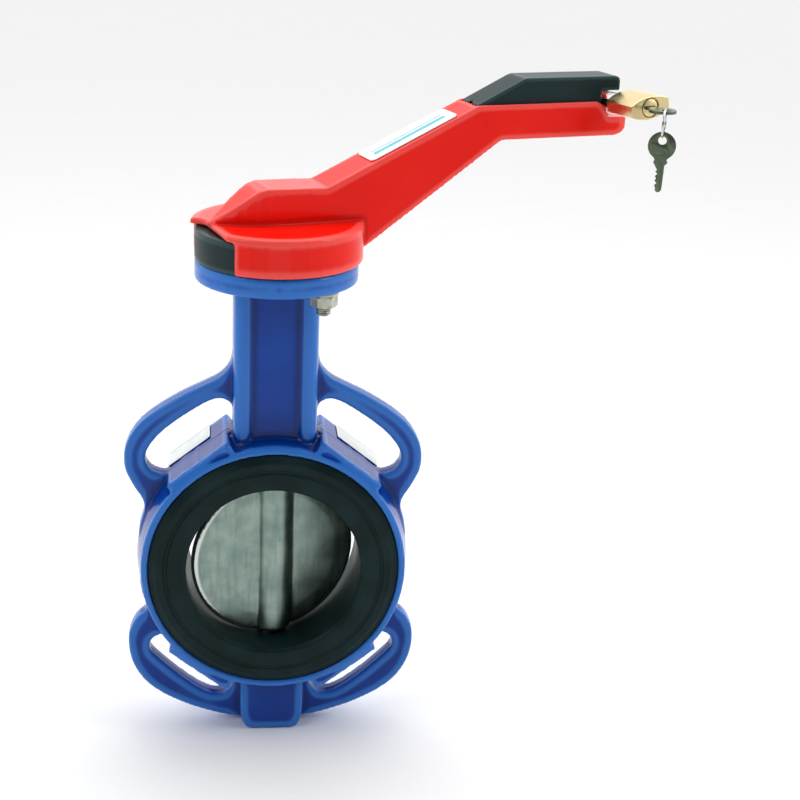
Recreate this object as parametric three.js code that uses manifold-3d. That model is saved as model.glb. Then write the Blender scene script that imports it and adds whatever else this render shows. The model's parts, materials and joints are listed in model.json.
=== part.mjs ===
// Wafer butterfly valve, DN 100, with a notched hand lever and a padlock on the lever's tail.
// Millimetres. Z is the stem axis, upwards. Y is the pipe axis, with the front face towards -Y.
// The origin is where the stem axis crosses the pipe axis.
import * as THREE from 'three';
import { mergeVertices } from 'three/addons/utils/BufferGeometryUtils.js';
import Module from 'manifold-3d';

const wasm = await Module();
wasm.setup();

// ---------------------------------------------------------------- driving dimensions
const GAP = 0.3;                      // air left between two pieces that touch
const DISC_ANGLE = THREE.MathUtils.degToRad(18);  // disc and lever stand two notches open

const BORE_R = 50;                    // DN 100
const LINER_HALF = 27;                // half of the seat's face-to-face length
const LINER_R = 71.5;                 // outside of the seat's sealing faces
const LINER_SLEEVE_R = 57.7;
const BODY_HALF = 26;
const BODY_BORE_R = 58;
const RECESS_R = 71.8;
const RECESS_Y = 21.4;
const RING_R = 78.5;                  // body ring at its middle plane
const RING_FACE_R = 75.5;             // body ring at its two faces

const FLANGE_TOP = 178.8;
const FLANGE_THICK = 11.2;
const FLANGE_R = 45;                  // F07 top flange
const FLANGE_PITCH_R = 35;
const FLANGE_HOLE_R = 4.6;
const REGISTER_R = 27.5;
const REGISTER_DEPTH = 2.5;

const UPPER_BUSH = [142, 170];        // from and to, along the stem
const MIDDLE_BUSH = [76, 98];
const LOWER_BUSH = [-96, -72];
const STEM_R = 8;
const STEM_BORE_R = 11;
const BUSH_R = STEM_BORE_R - GAP;
const STEM_BOTTOM = -97;
const STEM_SQUARE = 12;
const STEM_SQUARE_START = 184;
const STEM_TOP = 213;
const POCKET_BOTTOM = -99;
const FOOT_BOTTOM = -110;

const NECK_FROM = 60;
const NECK_HALF_DEPTH = 16;
const LOOP_HALF = 6;                  // half thickness of the centring loops
const PAD_DISTANCE = RING_R;          // flat pads on the ring, under the loops
const PAD_TILT = THREE.MathUtils.degToRad(38);

const DISC_R = 49.6;
const DISC_BOSS_R = 11;
const DISC_BOSS_END = 47.5;
const DISC_FLAT = 6.6;                // half width across the flats that drive the disc

const PLATE_BOTTOM = FLANGE_TOP + GAP;
const PLATE_FLOOR = 184;
const PLATE_TOP = 196.3;
const PLATE_R = 45;
const PLATE_INNER_R = 30;
const PLATE_HOLE_R = 15;
const NOTCH_TOP = 193.6;
const NOTCH_BOTTOM = 190.4;
const NOTCH_COUNT = 11;
const NOTCH_STEP = 9;                 // degrees
const NOTCH_WIDTH = 3.8;
const BOLT_R = 4;                     // M8
const BOLT_ACROSS = 13;
const WASHER_THICK = 1.6;
const BOLT_END = 154;
const BOLT_WELL_R = 8.6;

const HUB_R = 47.3;
const HUB_INNER_R = 45.5;
const HUB_BOTTOM = 179.4;
const HUB_CEILING = 196.8;
const HUB_TOP = 200.4;
const WINDOW_FROM = 147;              // opening in the hub's skirt, degrees from the arm
const WINDOW_TO = 222;
const LEVER_BOSS_R = 13.5;
const ARM_LOW = [24.3, 219.3];        // the two ends of the arm's slope, along it and up
const ARM_HIGH = [113.2, 260.6];
const CAVITY_HALF = 10;               // hollow arm, half width
const CHANNEL_HALF = 10.8;            // open grip, half width
const GRIP_HALF = 12.6;

const PIVOT_U = 118;                  // trigger pivot, along the lever and up
const PIVOT_Z = 251;
const PIN_R = 2;
const TRIGGER_HALF = 10.4;
const LATCH_HALF = 1.6;
const CROSS_U = 138;                  // pin that ties the latch bar to the trigger
const CROSS_Z = 256;
const SPRING_U = 165;
const SPRING_FLOOR = 244.2;
const SPRING_ROOF = 263.6;
const SPRING_MEAN_R = 3.9;
const SPRING_WIRE_R = 0.6;
const SCREW_Z = 206;                  // set screw of the lever

const EYE_U = 196.2;                  // padlock eye on the lever's tail
const EYE_Z = 259.3;
const EYE_HOLE_R = 3.4;
const EYE_HALF = 3.2;
const PADLOCK_YAW = THREE.MathUtils.degToRad(5.5);
const PADLOCK_ROLL = THREE.MathUtils.degToRad(9);
const SHACKLE_R = 2.5;
const LEG_SPACING = 18;
const LOCK_WIDTH = 26.4;
const LOCK_TOP = -14.5;               // shackle end of the padlock, along its own axis
const LOCK_BOTTOM = -38;              // key end
const LOCK_EDGE = 3.1;
const LOCK_HALF = 6.5;
const PLUG_R = 5.2;
const PLUG_END = -19.5;
const KEY_THICK = 1.6;
const BOW_R = 7.8;
const KEY_HOLE_R = 2.4;
const KEY_HOLE_OFFSET = 3;
const KEY_SHOULDER = 9.6;
const KEY_TIP = 26.2;
const KEY_OUT = 1.2;                  // the key isn't pushed fully home
const RING_MEAN_R = 7.9;
const RING_WIRE_R = 0.5;
const RING_HALF_WIDTH = 0.8;          // two turns of wire side by side
const RING_YAW = THREE.MathUtils.degToRad(-20);
const RING_FORWARD = 5.2;             // ring's middle from the middle of the key's hole
const RING_DROP = 5.5;

const FINE = 40;                      // sides of large, middling and small rounds
const MEDIUM = 24;
const SMALL = 14;

// ---------------------------------------------------------------- finishes
function finish(color, roughness, metalness) {
  return new THREE.MeshStandardMaterial({ color, roughness, metalness });
}

const blueEpoxy = finish(0x0a3ca8, 0.25, 0);
const blackRubber = finish(0x14262a, 0.55, 0);
const blackPlastic = finish(0x16292c, 0.45, 0);
const redEnamel = finish(0xe8231a, 0.25, 0);
const stainless = finish(0x9aa39f, 0.35, 1);
const zincSteel = finish(0xa9aca0, 0.4, 1);
const bronze = finish(0x9c7a45, 0.45, 1);
const brass = finish(0xe3c98a, 0.35, 1);
const labelWhite = finish(0xf4f6f6, 0.4, 0);
const labelSilver = finish(0xc9cccb, 0.4, 0.6);
const keyNickel = finish(0x5c6e58, 0.4, 1);
const polishedSteel = finish(0xd0d3d2, 0.15, 1);

// ---------------------------------------------------------------- solids
function signedVolume(positions, triangles) {
  const a = new THREE.Vector3();
  const b = new THREE.Vector3();
  const c = new THREE.Vector3();
  let total = 0;
  for (let i = 0; i < triangles.length; i += 3) {
    a.fromArray(positions, triangles[i] * 3);
    b.fromArray(positions, triangles[i + 1] * 3);
    c.fromArray(positions, triangles[i + 2] * 3);
    total += a.dot(b.cross(c));
  }
  return total;
}

function solidOf(geometry) {
  geometry.deleteAttribute('normal');
  geometry.deleteAttribute('uv');
  const merged = mergeVertices(geometry, 1e-4);
  const vertProperties = new Float32Array(merged.attributes.position.array);
  const triangles = [];
  const index = merged.index.array;
  for (let i = 0; i < index.length; i += 3) {
    const [a, b, c] = [index[i], index[i + 1], index[i + 2]];
    if (a !== b && b !== c && c !== a) {
      triangles.push(a, b, c);
    }
  }
  if (signedVolume(vertProperties, triangles) < 0) {
    triangles.reverse();
  }
  const triVerts = new Uint32Array(triangles);
  return new wasm.Manifold(new wasm.Mesh({ numProp: 3, vertProperties, triVerts }));
}

function geometryOf(solid) {
  const mesh = solid.getMesh();
  const geometry = new THREE.BufferGeometry();
  geometry.setAttribute('position', new THREE.BufferAttribute(mesh.vertProperties, 3));
  geometry.setIndex(new THREE.BufferAttribute(mesh.triVerts, 1));
  geometry.computeVertexNormals();
  return geometry;
}

function joined(...solids) {
  return solids.reduce((whole, piece) => whole.add(piece));
}

function block(x0, x1, y0, y1, z0, z1) {
  const geometry = new THREE.BoxGeometry(x1 - x0, y1 - y0, z1 - z0);
  geometry.translate((x0 + x1) / 2, (y0 + y1) / 2, (z0 + z1) / 2);
  return solidOf(geometry);
}

function rodZ(radius, z0, z1, x = 0, y = 0, segments = SMALL) {
  const geometry = new THREE.CylinderGeometry(radius, radius, z1 - z0, segments);
  geometry.rotateX(Math.PI / 2);
  geometry.translate(x, y, (z0 + z1) / 2);
  return solidOf(geometry);
}

function rodY(radius, y0, y1, x = 0, z = 0, segments = SMALL) {
  const geometry = new THREE.CylinderGeometry(radius, radius, y1 - y0, segments);
  geometry.translate(x, (y0 + y1) / 2, z);
  return solidOf(geometry);
}

function turnedY(profile, segments) {
  const points = profile.map(([radius, along]) => new THREE.Vector2(radius, along));
  return solidOf(new THREE.LatheGeometry(points, segments));
}

function turnedZ(profile, segments) {
  const points = profile.map(([radius, along]) => new THREE.Vector2(radius, along));
  const geometry = new THREE.LatheGeometry(points, segments);
  geometry.rotateX(Math.PI / 2);
  return solidOf(geometry);
}

function prism(shape, z0, z1, curveSegments = 6) {
  const settings = { depth: z1 - z0, bevelEnabled: false, curveSegments };
  const geometry = new THREE.ExtrudeGeometry(shape, settings);
  geometry.translate(0, 0, z0);
  return solidOf(geometry);
}

function upright(shape, y0, y1, curveSegments = 6) {
  const settings = { depth: y1 - y0, bevelEnabled: false, curveSegments };
  const geometry = new THREE.ExtrudeGeometry(shape, settings);
  geometry.rotateX(Math.PI / 2);
  geometry.translate(0, y1, 0);
  return solidOf(geometry);
}

function outline(points) {
  return new THREE.Shape(points.map(([a, b]) => new THREE.Vector2(a, b)));
}

// A pie slice about the origin, between two angles in degrees.
function pieSlice(radius, fromDegrees, toDegrees) {
  const first = THREE.MathUtils.degToRad(fromDegrees);
  const last = THREE.MathUtils.degToRad(toDegrees);
  const shape = new THREE.Shape();
  shape.moveTo(0, 0);
  shape.lineTo(radius * Math.cos(first), radius * Math.sin(first));
  shape.absarc(0, 0, radius, first, last, false);
  return shape;
}

function tube(path, radius, steps, sides) {
  const section = new THREE.Shape();
  section.absarc(0, 0, radius, 0, 2 * Math.PI, false);
  const settings = { steps, extrudePath: path, curveSegments: sides };
  return solidOf(new THREE.ExtrudeGeometry(section, settings));
}

function sleeveZ(inner, outer, z0, z1, segments = MEDIUM) {
  const profile = [[inner, z0], [outer, z0], [outer, z1], [inner, z1], [inner, z0]];
  return turnedZ(profile, segments);
}

// A ring about Z with an oval section.
function roundRing(meanRadius, halfWidth, halfHeight, z = 0) {
  const sides = 8;
  const profile = [];
  for (let i = 0; i <= sides; i += 1) {
    const angle = (i / sides) * 2 * Math.PI;
    profile.push([meanRadius + halfWidth * Math.cos(angle), z + halfHeight * Math.sin(angle)]);
  }
  return turnedZ(profile, MEDIUM);
}

function mesh(name, solid, material) {
  const object = new THREE.Mesh(geometryOf(solid), material);
  object.name = name;
  return object;
}

// ---------------------------------------------------------------- valve body
function bodyRing() {
  const half = [
    [RING_FACE_R - 0.6, BODY_HALF],
    [RING_FACE_R, BODY_HALF - 0.8],
    [RING_FACE_R + 1.6, 14],
    [RING_R, 3],
  ];
  const lower = half.map(([radius, along]) => [radius, -along]).reverse();
  const profile = [[0, BODY_HALF], ...half, ...lower, [0, -BODY_HALF]];
  return turnedY(profile, FINE);
}

function neck() {
  const side = 23.8;
  const ridge = 17.6;
  const front = NECK_HALF_DEPTH;
  const panel = front - 2.6;
  const shape = new THREE.Shape();
  shape.moveTo(-side, -7);
  shape.quadraticCurveTo(-side, -front, -ridge, -front);
  shape.quadraticCurveTo(-14.5, -front, -14, -panel);
  shape.lineTo(14, -panel);
  shape.quadraticCurveTo(14.5, -front, ridge, -front);
  shape.quadraticCurveTo(side, -front, side, -7);
  shape.lineTo(side, 7);
  shape.quadraticCurveTo(side, front, ridge, front);
  shape.quadraticCurveTo(14.5, front, 14, panel);
  shape.lineTo(-14, panel);
  shape.quadraticCurveTo(-14.5, front, -ridge, front);
  shape.quadraticCurveTo(-side, front, -side, 7);
  return prism(shape, NECK_FROM, FLANGE_TOP - FLANGE_THICK + 1, 4);
}

function topFlange() {
  const bottom = FLANGE_TOP - FLANGE_THICK;
  const profile = [
    [0, bottom],
    [FLANGE_R - 0.8, bottom],
    [FLANGE_R, bottom + 0.8],
    [FLANGE_R, FLANGE_TOP - 0.6],
    [FLANGE_R - 0.6, FLANGE_TOP],
    [REGISTER_R, FLANGE_TOP],
    [REGISTER_R, FLANGE_TOP - REGISTER_DEPTH],
    [0, FLANGE_TOP - REGISTER_DEPTH],
  ];
  return turnedZ(profile, FINE);
}

function foot() {
  const side = 18.5;
  const shape = new THREE.Shape();
  shape.moveTo(-side, -60);
  shape.lineTo(-side, -93);
  shape.bezierCurveTo(-side, -104, -17, FOOT_BOTTOM, -12, FOOT_BOTTOM);
  shape.lineTo(12, FOOT_BOTTOM);
  shape.bezierCurveTo(17, FOOT_BOTTOM, side, -104, side, -93);
  shape.lineTo(side, -60);
  return upright(shape, -NECK_HALF_DEPTH, NECK_HALF_DEPTH, 4);
}

// Loop outlines are drawn for the left side and mirrored for the right.
function onLeft(points) {
  return points.map(([x, z]) => new THREE.Vector2(-x, z));
}

function loopPlate(shape, side) {
  const plate = upright(shape, -LOOP_HALF, LOOP_HALF, 2);
  return side < 0 ? plate : plate.mirror([1, 0, 0]);
}

function upperLoop(side) {
  const shape = new THREE.Shape();
  shape.moveTo(-18, 130);
  shape.lineTo(-23.6, 128);
  shape.splineThru(onLeft([
    [25.3, 118], [31, 110.8], [41, 105.4], [54, 98.8], [69, 89], [78.3, 80], [84, 69],
    [84.8, 57], [80.5, 46], [74.8, 36.5], [74, 30], [76.3, 22.5], [77.5, 14],
  ]));
  shape.lineTo(-60, 20);
  shape.lineTo(-18, 70);
  const slot = new THREE.Path();
  slot.moveTo(-26.2, 77.4);
  slot.splineThru(onLeft([
    [22.6, 83.5], [22.6, 91], [27, 97], [34, 97.8], [45, 92], [61.5, 80], [71, 69],
    [73.2, 60.5], [69.4, 54.2], [64, 52.2], [59.3, 51.4],
  ]));
  slot.lineTo(-26.2, 77.4);
  shape.holes.push(slot);
  return loopPlate(shape, side);
}

function lowerLoop(side) {
  const shape = new THREE.Shape();
  shape.moveTo(-60, -16);
  shape.lineTo(-77.4, -14);
  shape.splineThru(onLeft([
    [76, -24], [73.8, -30.5], [74.4, -35.5], [79.5, -40], [83.6, -48], [84.4, -58],
    [82.2, -69.5], [76.4, -80.2], [68, -88.4], [55, -96.3], [41, -102.1], [27.5, -106.2],
    [17, -108],
  ]));
  shape.lineTo(-10, -90);
  shape.lineTo(-18, -70);
  const slot = new THREE.Path();
  slot.moveTo(-59.3, -51.4);
  slot.splineThru(onLeft([
    [66, -51], [71, -54.2], [72.4, -59.2], [69.6, -64.6], [55, -78.8], [42, -88.8],
    [33, -92.3], [26.5, -90], [22.8, -84.5], [26.2, -77.4],
  ]));
  slot.lineTo(-59.3, -51.4);
  shape.holes.push(slot);
  return loopPlate(shape, side);
}

// A flat pad on the ring under each loop. The tangent point is the pad's own origin.
function ringPad(side, up) {
  const geometry = new THREE.BoxGeometry(42.5, 2 * (BODY_HALF - 1.4), 14);
  geometry.translate(-5.75 * side, 0, PAD_DISTANCE - 7);
  geometry.rotateY(side * PAD_TILT);
  if (!up) {
    geometry.rotateX(Math.PI);
  }
  return solidOf(geometry);
}

function seatSpace() {
  const profile = [
    [0, -BODY_HALF - 1],
    [RECESS_R, -BODY_HALF - 1],
    [RECESS_R, -RECESS_Y],
    [BODY_BORE_R, -RECESS_Y],
    [BODY_BORE_R, RECESS_Y],
    [RECESS_R, RECESS_Y],
    [RECESS_R, BODY_HALF + 1],
    [0, BODY_HALF + 1],
  ];
  return turnedY(profile, FINE);
}

function valveBody() {
  let solid = joined(bodyRing(), neck(), topFlange(), foot());
  for (const side of [-1, 1]) {
    solid = joined(solid, upperLoop(side), lowerLoop(side), ringPad(side, true), ringPad(side, false));
  }
  solid = solid.subtract(seatSpace());
  solid = solid.subtract(rodZ(STEM_BORE_R, POCKET_BOTTOM, FLANGE_TOP + 5, 0, 0, MEDIUM));
  for (let i = 0; i < 4; i += 1) {
    const angle = Math.PI / 4 + (i * Math.PI) / 2;
    const x = FLANGE_PITCH_R * Math.cos(angle);
    const y = FLANGE_PITCH_R * Math.sin(angle);
    const bottom = FLANGE_TOP - FLANGE_THICK;
    solid = solid.subtract(rodZ(FLANGE_HOLE_R, bottom - 1, FLANGE_TOP + 1, x, y));
  }
  return mesh('valve_body', solid, blueEpoxy);
}

// A thin plate lying on the rear half of an upper pad.
function bodyLabel(name, side) {
  const bottom = PAD_DISTANCE + GAP;
  const geometry = new THREE.BoxGeometry(30, 20, 0.4);
  geometry.translate(0, 14, bottom + 0.2);
  geometry.rotateY(side * PAD_TILT);
  return mesh(name, solidOf(geometry), labelSilver);
}

// ---------------------------------------------------------------- seat, disc and stem
function seatLiner() {
  const inner = RECESS_Y + GAP;
  const half = [
    [BORE_R, 24.4],
    [BORE_R + 0.8, 26.2],
    [BORE_R + 2.6, LINER_HALF],
    [61, LINER_HALF],
    [61.6, LINER_HALF - 0.8],
    [62.6, LINER_HALF - 0.8],
    [63.2, LINER_HALF],
    [67, LINER_HALF],
    [LINER_R, LINER_HALF - 2.4],
    [LINER_R, inner],
    [LINER_SLEEVE_R, inner],
  ];
  const rear = half.map(([radius, along]) => [radius, -along]).reverse();
  const profile = [...half, ...rear, [BORE_R, 24.4]];
  let solid = turnedY(profile, FINE);
  solid = solid.subtract(rodZ(STEM_R + GAP, -80, 80, 0, 0, MEDIUM));
  return mesh('seat_liner', solid, blackRubber);
}

function drivenRod(radius, halfFlat, z0, z1) {
  const flats = block(-radius - 1, radius + 1, -halfFlat, halfFlat, z0, z1);
  return rodZ(radius, z0, z1, 0, 0, MEDIUM).intersect(flats);
}

function disc() {
  const profile = [
    [0, -4.6],
    [38, -4.2],
    [45, -3.4],
    [48.4, -2.8],
    [DISC_R, -1.4],
    [DISC_R, 1.4],
    [48.4, 2.8],
    [45, 3.4],
    [38, 4.2],
    [0, 4.6],
  ];
  const end = DISC_BOSS_END;
  const boss = turnedZ([
    [0, -end],
    [DISC_BOSS_R - 1, -end],
    [DISC_BOSS_R, -end + 1.5],
    [DISC_BOSS_R, end - 1.5],
    [DISC_BOSS_R - 1, end],
    [0, end],
  ], MEDIUM);
  let solid = joined(turnedY(profile, FINE), boss);
  solid = solid.subtract(block(-16, 16, -16, 16, end, 60));
  solid = solid.subtract(block(-16, 16, -16, 16, -60, -end));
  solid = solid.subtract(drivenRod(STEM_R + GAP, DISC_FLAT + GAP, -60, 60));
  return mesh('disc', solid, stainless);
}

function stem() {
  const half = STEM_SQUARE / 2;
  const square = block(-half, half, -half, half, STEM_SQUARE_START, STEM_TOP);
  const solid = joined(
    drivenRod(STEM_R, DISC_FLAT, STEM_BOTTOM, DISC_BOSS_END + GAP),
    rodZ(STEM_R, DISC_BOSS_END + GAP, STEM_SQUARE_START, 0, 0, MEDIUM),
    rodZ(STEM_R, STEM_SQUARE_START, STEM_TOP, 0, 0, MEDIUM).intersect(square),
  );
  return mesh('stem', solid, stainless);
}

function oRing(name, z) {
  const middle = (STEM_R + GAP + BUSH_R) / 2;
  return mesh(name, roundRing(middle, 1.2, 1.2, z), blackRubber);
}

// ---------------------------------------------------------------- notch plate and its bolts
function notchPlate() {
  const profile = [
    [PLATE_HOLE_R, PLATE_BOTTOM],
    [PLATE_R, PLATE_BOTTOM],
    [PLATE_R, PLATE_TOP - 0.8],
    [PLATE_R - 0.8, PLATE_TOP],
    [PLATE_INNER_R, PLATE_TOP],
    [PLATE_INNER_R, PLATE_FLOOR],
    [PLATE_HOLE_R, PLATE_FLOOR],
    [PLATE_HOLE_R, PLATE_BOTTOM],
  ];
  let solid = turnedZ(profile, FINE);
  const toothed = pieSlice(PLATE_R + 3, -NOTCH_STEP, NOTCH_STEP * NOTCH_COUNT);
  solid = solid.subtract(prism(toothed, NOTCH_TOP, PLATE_TOP + 2, 12));
  for (let i = 0; i < NOTCH_COUNT; i += 1) {
    const geometry = new THREE.BoxGeometry(12, NOTCH_WIDTH, 6);
    geometry.translate(42, 0, NOTCH_BOTTOM + 3);
    geometry.rotateZ(THREE.MathUtils.degToRad(i * NOTCH_STEP));
    solid = solid.subtract(solidOf(geometry));
  }
  for (const side of [-1, 1]) {
    const x = side * FLANGE_PITCH_R * Math.SQRT1_2;
    solid = solid.subtract(rodZ(FLANGE_HOLE_R, PLATE_BOTTOM - 1, PLATE_TOP + 1, x, -x));
    solid = solid.subtract(rodZ(BOLT_WELL_R, PLATE_FLOOR, PLATE_TOP + 1, x, -x, MEDIUM));
  }
  return mesh('notch_plate', solid, blackPlastic);
}

function hexagonRod(acrossFlats, z0, z1) {
  return rodZ(acrossFlats / Math.sqrt(3), z0, z1, 0, 0, 6);
}

function placed(object, x, y, z = 0) {
  object.position.set(x, y, z);
  return object;
}

function plateBolt(name, side) {
  const x = side * FLANGE_PITCH_R * Math.SQRT1_2;
  const head = PLATE_FLOOR + GAP;
  const solid = joined(hexagonRod(BOLT_ACROSS, head, head + 5.3), rodZ(BOLT_R, BOLT_END, head));
  return placed(mesh(name, solid, zincSteel), x, -x);
}

function plateWasher(name, side) {
  const x = side * FLANGE_PITCH_R * Math.SQRT1_2;
  const top = FLANGE_TOP - FLANGE_THICK - GAP;
  return placed(mesh(name, sleeveZ(BOLT_R + GAP, 2 * BOLT_R, top - WASHER_THICK, top), zincSteel), x, -x);
}

function plateNut(name, side) {
  const x = side * FLANGE_PITCH_R * Math.SQRT1_2;
  const top = FLANGE_TOP - FLANGE_THICK - 2 * GAP - WASHER_THICK;
  const bore = rodZ(BOLT_R + GAP, top - 8, top + 1);
  const solid = hexagonRod(BOLT_ACROSS, top - 6.5, top).subtract(bore);
  return placed(mesh(name, solid, zincSteel), x, -x);
}

// ---------------------------------------------------------------- lever
// The lever's own axes: X along the arm, Y across it, Z up.
function armTop() {
  const shape = outline([
    [-41, HUB_CEILING + 0.4],
    [-41, HUB_TOP - 0.6],
    [-17.5, 216.6],
    [-13.5, 218.9],
    [-8.5, 219.9],
    ARM_LOW,
    ARM_HIGH,
    [188, 260.9],
  ]);
  shape.quadraticCurveTo(193.4, 259.6, 195, 254.5);
  shape.quadraticCurveTo(195.8, 251.6, 198.5, 251.5);
  shape.lineTo(208.3, 251.3);
  shape.quadraticCurveTo(210.3, 251.3, 210.3, 249.4);
  shape.lineTo(210.3, 247.8);
  shape.quadraticCurveTo(210.3, 244.6, 206.3, 242.4);
  shape.quadraticCurveTo(203.7, 240.9, 199.7, 240.9);
  shape.lineTo(130.5, 240.9);
  shape.quadraticCurveTo(128, 240.9, 126, 239.4);
  shape.lineTo(47.4, 185.6);
  shape.lineTo(46.2, 185.6);
  shape.lineTo(46.2, HUB_CEILING + 0.4);
  return upright(shape, -20, 20, 5);
}

function armPlan() {
  const shape = new THREE.Shape();
  shape.moveTo(-41, 0.6);
  shape.lineTo(-41, -0.6);
  shape.quadraticCurveTo(-22, -13.2, -2, -13.6);
  shape.lineTo(24, -13.8);
  shape.lineTo(113, -13);
  shape.lineTo(130, -GRIP_HALF);
  shape.lineTo(204.7, -GRIP_HALF);
  shape.quadraticCurveTo(210.3, -GRIP_HALF, 210.3, -8);
  shape.lineTo(210.3, 8);
  shape.quadraticCurveTo(210.3, GRIP_HALF, 204.7, GRIP_HALF);
  shape.lineTo(130, GRIP_HALF);
  shape.lineTo(113, 13);
  shape.lineTo(24, 13.8);
  shape.lineTo(-2, 13.6);
  shape.quadraticCurveTo(-22, 13.2, -41, 0.6);
  return prism(shape, 150, 290, 6);
}

function hubCap() {
  const shell = turnedZ([
    [0, HUB_BOTTOM],
    [HUB_R - 0.8, HUB_BOTTOM],
    [HUB_R, HUB_BOTTOM + 0.8],
    [HUB_R, HUB_TOP - 1.6],
    [HUB_R - 0.6, HUB_TOP - 0.5],
    [HUB_R - 1.8, HUB_TOP],
    [0, HUB_TOP],
  ], FINE);
  return shell.subtract(rodZ(HUB_INNER_R, HUB_BOTTOM - 1, HUB_CEILING, 0, 0, FINE));
}

// The cap is open at the back of the lever, where the notch plate shows.
function hubWindow() {
  const slice = prism(pieSlice(HUB_R + 10, WINDOW_FROM, WINDOW_TO), HUB_BOTTOM - 1, HUB_CEILING + 0.1, 8);
  const skirt = slice.subtract(rodZ(LEVER_BOSS_R + 1, HUB_BOTTOM - 2, HUB_CEILING + 1, 0, 0, MEDIUM));
  const edge = new THREE.Shape();
  edge.moveTo(-60, -50);
  edge.lineTo(-38, -50);
  edge.lineTo(-38.2, 6);
  edge.quadraticCurveTo(-39, 12, -44, 14.5);
  edge.lineTo(-60, 18);
  return joined(skirt, prism(edge, HUB_CEILING - 2, HUB_TOP + 0.3, 4));
}

function armHollow() {
  const roof = outline([
    [16, 170],
    [16, 215.2],
    [24.6, 215.2],
    [113, 256.4],
    [113, 258],
    [131, 258],
    [131, 244.2],
    [120, 225],
    [50, 170],
  ]);
  const grip = outline([
    [113, 246],
    [113, 290],
    [193.2, 290],
    [193.2, SPRING_FLOOR],
    [131, SPRING_FLOOR],
  ]);
  return joined(
    upright(roof, -CAVITY_HALF, CAVITY_HALF),
    upright(grip, -CHANNEL_HALF, CHANNEL_HALF),
  );
}

function padlockEye() {
  const eyeR = EYE_HOLE_R + 2;
  return joined(
    rodY(eyeR, -EYE_HALF, EYE_HALF, EYE_U, EYE_Z, MEDIUM),
    block(EYE_U - eyeR, EYE_U + eyeR, -EYE_HALF, EYE_HALF, 248, EYE_Z),
  );
}

function leverHandle() {
  const socket = STEM_SQUARE / 2 + GAP;
  let solid = joined(hubCap(), armTop().intersect(armPlan()));
  solid = solid.subtract(hubWindow());
  solid = joined(solid, rodZ(LEVER_BOSS_R, 185, HUB_CEILING + 1, 0, 0, MEDIUM));
  solid = solid.subtract(armHollow());
  solid = joined(solid, padlockEye());
  solid = solid.subtract(rodY(EYE_HOLE_R, -20, 20, EYE_U, EYE_Z, MEDIUM));
  solid = solid.subtract(block(-socket, socket, -socket, socket, 180, STEM_TOP + 0.5));
  solid = solid.subtract(rodY(4, 0, 20, 0, SCREW_Z));
  solid = solid.subtract(rodY(PIN_R + GAP, -12, 20, PIVOT_U, PIVOT_Z));
  return mesh('lever_handle', solid, redEnamel);
}

function leverLabel() {
  const shape = new THREE.Shape();
  const halfLength = 28;
  const halfWidth = 10.6;
  const corner = 3;
  shape.absarc(halfLength - corner, halfWidth - corner, corner, 0, Math.PI / 2, false);
  shape.absarc(corner - halfLength, halfWidth - corner, corner, Math.PI / 2, Math.PI, false);
  shape.absarc(corner - halfLength, corner - halfWidth, corner, Math.PI, 1.5 * Math.PI, false);
  shape.absarc(halfLength - corner, corner - halfWidth, corner, 1.5 * Math.PI, 2 * Math.PI, false);
  const label = mesh('lever_label', prism(shape, 0, 0.5, 4), labelWhite);
  const slope = Math.atan2(ARM_HIGH[1] - ARM_LOW[1], ARM_HIGH[0] - ARM_LOW[0]);
  const middle = 76;
  const rise = (middle - ARM_LOW[0]) * Math.tan(slope);
  label.position.set(middle - GAP * Math.sin(slope), 0, ARM_LOW[1] + rise + GAP);
  label.rotation.y = -slope;
  return label;
}

function leverSetScrew() {
  const solid = rodY(3.7, STEM_SQUARE / 2 + GAP, 13.2, 0, SCREW_Z).subtract(rodY(2.3, 9, 14, 0, SCREW_Z, 6));
  return mesh('lever_set_screw', solid, zincSteel);
}

// ---------------------------------------------------------------- trigger and latch
function trigger() {
  const shape = outline([
    [113.6, 247.6],
    [113.6, 260.7],
    [141, 273.9],
    [143.4, 274.7],
    [201.2, 274.7],
    [203.4, 273.8],
    [204.2, 271.8],
    [204.2, 266.5],
    [192.6, 266.5],
    [192.6, 257.6],
    [129, 257.6],
    [122.8, 247.6],
  ]);
  const half = TRIGGER_HALF;
  let solid = upright(shape, -half, half);
  solid = solid.subtract(block(112, 150, -LATCH_HALF - GAP, LATCH_HALF + GAP, 240, 261));
  solid = solid.subtract(block(EYE_U - 7, 206, -EYE_HALF - 0.6, EYE_HALF + 0.6, 250, 269.6));
  solid = solid.subtract(rodZ(SPRING_MEAN_R + SPRING_WIRE_R + 0.7, 250, SPRING_ROOF, SPRING_U, 0));
  solid = solid.subtract(rodY(PIN_R + GAP, -half - 1, half + 1, PIVOT_U, PIVOT_Z));
  solid = solid.subtract(rodY(PIN_R + GAP, -half - 1, half + 1, CROSS_U, CROSS_Z));
  return mesh('trigger', solid, blackPlastic);
}

function latchBar() {
  const shape = outline([
    [148, 260.4],
    [123, 256],
    [64, 222],
    [50, 214.5],
    [38.6, 210.5],
    [37.6, 208],
    [37.6, 194],
    [44.4, 194],
    [44.4, 203.4],
    [56, 206.4],
    [70, 214],
    [124, 246.4],
    [148, 251.6],
  ]);
  let solid = upright(shape, -LATCH_HALF, LATCH_HALF);
  solid = solid.subtract(rodY(PIN_R + GAP, -4, 4, PIVOT_U, PIVOT_Z));
  solid = solid.subtract(rodY(PIN_R + GAP, -4, 4, CROSS_U, CROSS_Z));
  return mesh('latch_bar', solid, zincSteel);
}

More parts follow.
